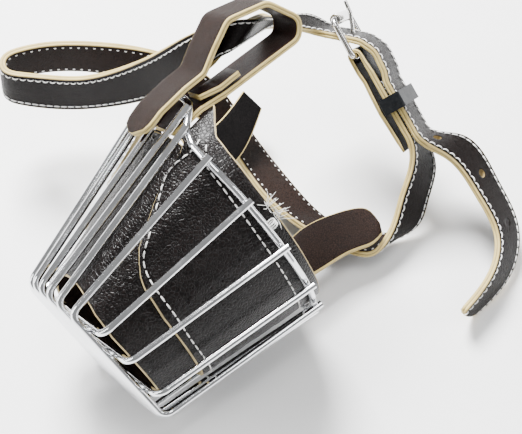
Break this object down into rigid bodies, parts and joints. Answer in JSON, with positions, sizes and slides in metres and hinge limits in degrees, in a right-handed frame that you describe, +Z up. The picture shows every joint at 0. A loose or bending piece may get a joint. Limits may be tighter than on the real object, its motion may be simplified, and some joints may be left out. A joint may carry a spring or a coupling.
{
  "type": "basket muzzle",
  "caption": "Basket muzzle for a large dog: welded wire basket with leather liner, head loop, neck strap, roller buckle and sliding keeper.",
  "frame": {"origin": "on the table, at the middle of the base of the box round the muzzle as it lies on its lower right side", "axes": "+Z up; the nose end of the basket points towards -X and -Y, the strap's tail towards +X"},
  "size_m": [0.2394, 0.1894, 0.1292],
  "materials": {
    "wire": "polished, welded round wire",
    "buckle_metal": "nickel plated wire",
    "strap_leather": "two-ply dark brown grain, natural cut edges",
    "liner_leather": "glossy pebbled grain",
    "tab_leather": "smooth dark brown, natural cut edges",
    "keeper": "smooth black"
  },
  "bodies": {
    "muzzle": {"rim_wire": "wire", "nose_wire_centre": "wire", "nose_wire_left_1": "wire", "nose_wire_right_1": "wire", "nose_wire_left_2": "wire", "nose_wire_right_2": "wire", "nose_wire_left_3": "wire", "nose_wire_right_3": "wire", "side_wire_upper": "wire", "side_wire_middle": "wire", "side_wire_lower": "wire", "crown_strap": "strap_leather", "cheek_strap_front": "strap_leather", "cheek_strap_back": "strap_leather", "throat_strap": "strap_leather", "rising_strap": "strap_leather", "strap_tail": "strap_leather", "buckle_tail_run": "strap_leather", "buckle_turn_back": "strap_leather", "liner": "liner_leather", "cheek_band": "liner_leather", "head_tab": "tab_leather", "tab_spacer": "tab_leather", "lower_tab": "tab_leather", "right_tab": "tab_leather"},
    "buckle_frame": {"buckle_frame": "buckle_metal"},
    "buckle_roller": {"buckle_roller": "buckle_metal"},
    "buckle_prong": {"buckle_prong": "buckle_metal"},
    "keeper": {"keeper": "keeper"}
  },
  "joints": [
    {"name": "buckle_swing", "type": "hinge", "parent": "muzzle", "child": "buckle_frame", "pos_m": [0.04639, 0.07298, 0.05873], "axis": [0.3697, 0.7097, -0.5996], "range_deg": [-3, 1]},
    {"name": "roller_spin", "type": "hinge", "parent": "buckle_frame", "child": "buckle_roller", "pos_m": [0.03702, 0.08622, 0.06863], "axis": [0.3697, 0.7097, -0.5996], "continuous": true},
    {"name": "prong_swing", "type": "hinge", "parent": "muzzle", "child": "buckle_prong", "pos_m": [0.04639, 0.07298, 0.05873], "axis": [0.3697, 0.7097, -0.5996], "range_deg": [-1, 3]},
    {"name": "keeper_slide", "type": "slide", "parent": "muzzle", "child": "keeper", "axis": [0.4929, -0.6969, -0.5209], "range_m": [-0.004, 0.006]}
  ]
}
